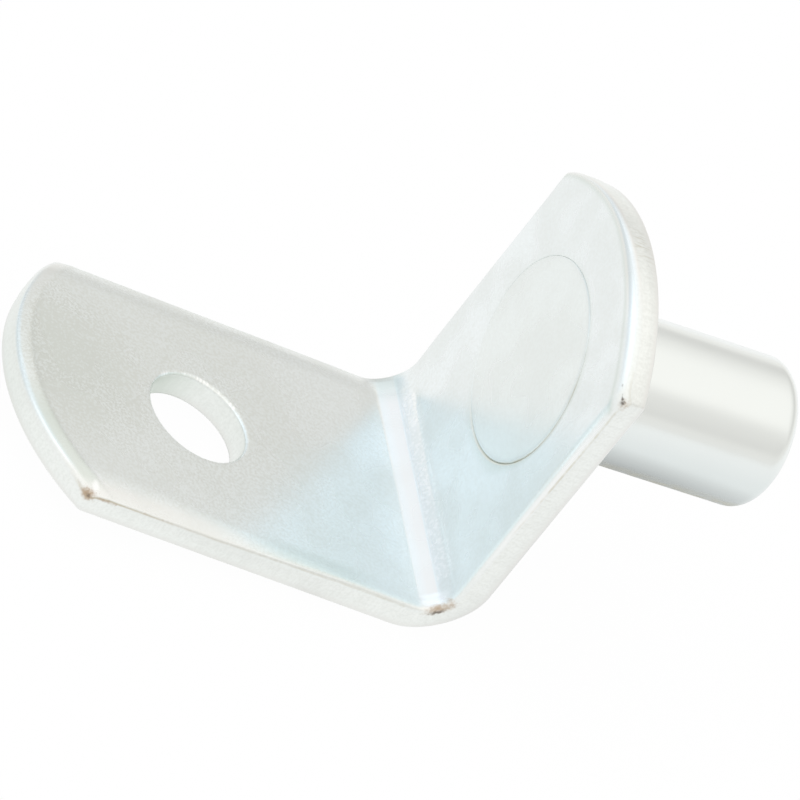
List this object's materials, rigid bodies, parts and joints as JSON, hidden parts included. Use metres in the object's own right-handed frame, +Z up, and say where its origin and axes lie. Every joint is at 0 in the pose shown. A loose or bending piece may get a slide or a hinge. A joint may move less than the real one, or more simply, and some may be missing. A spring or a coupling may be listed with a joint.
{
  "type": "angled shelf support with pin",
  "caption": "L-shaped shelf support of bent zinc-plated steel strip, with a screw hole in the shelf leg and a headed steel pin fixed in the upright leg.",
  "frame": {"origin": "on the pin's axis, in the plane of the upright leg's outer face, which seats against the cabinet side", "axes": "+X along the pin towards its tip, +Z up, the shelf leg reaching towards -X below the pin, Y across the strip"},
  "size_m": [0.0297, 0.0128, 0.0167],
  "materials": {
    "plated_strip": "zinc plated, satin",
    "plated_pin": "zinc plated, satin"
  },
  "bodies": {
    "root": {"bracket": "plated_strip", "pin": "plated_pin"}
  },
  "joints": []
}
